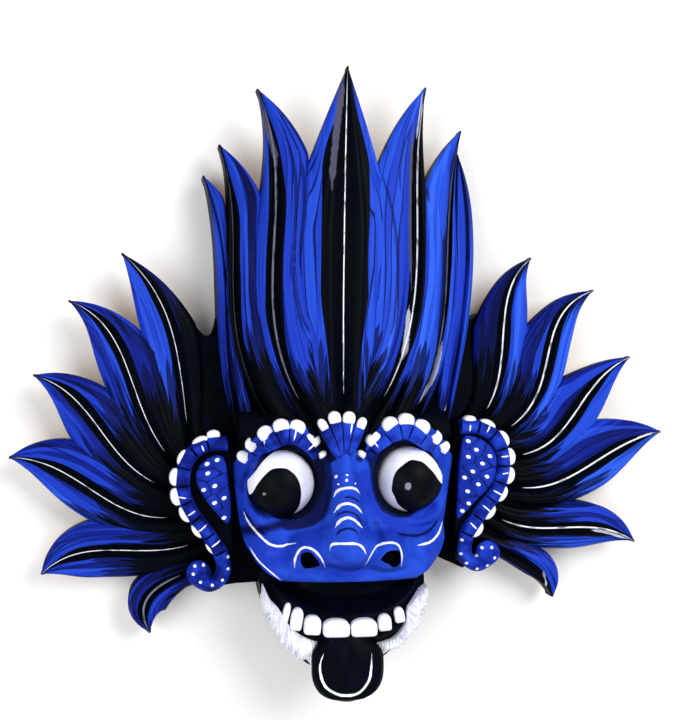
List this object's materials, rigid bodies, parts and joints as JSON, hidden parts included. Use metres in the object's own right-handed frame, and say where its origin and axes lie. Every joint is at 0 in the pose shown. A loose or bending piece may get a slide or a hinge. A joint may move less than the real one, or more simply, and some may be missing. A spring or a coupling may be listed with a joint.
{
  "type": "raksha mask",
  "caption": "Carved wooden demon mask, painted: bulging eyes, bared teeth and hanging tongue under a tall crown of flames, with scrolled ears set in wings of flames.",
  "frame": {"origin": "on the flat bridge of wood behind the forehead, in the plane that the mask lies or hangs on, midway between the sides of the face", "axes": "+X to the right of a viewer who faces the mask, +Y up the face to the crown, +Z out of the face; the mask lies on its back"},
  "size_m": [0.5347, 0.4985, 0.1222],
  "materials": {
    "painted_face_and_crown": "carved light wood under gloss enamel paint: blue, black and white; bare at the back",
    "painted_left_wing": "carved light wood under gloss enamel paint: blue, black and white; bare at the back",
    "painted_right_wing": "carved light wood under gloss enamel paint: blue, black and white; bare at the back"
  },
  "bodies": {
    "root": {"face_and_crown": "painted_face_and_crown", "left_wing": "painted_left_wing", "right_wing": "painted_right_wing"}
  },
  "joints": []
}
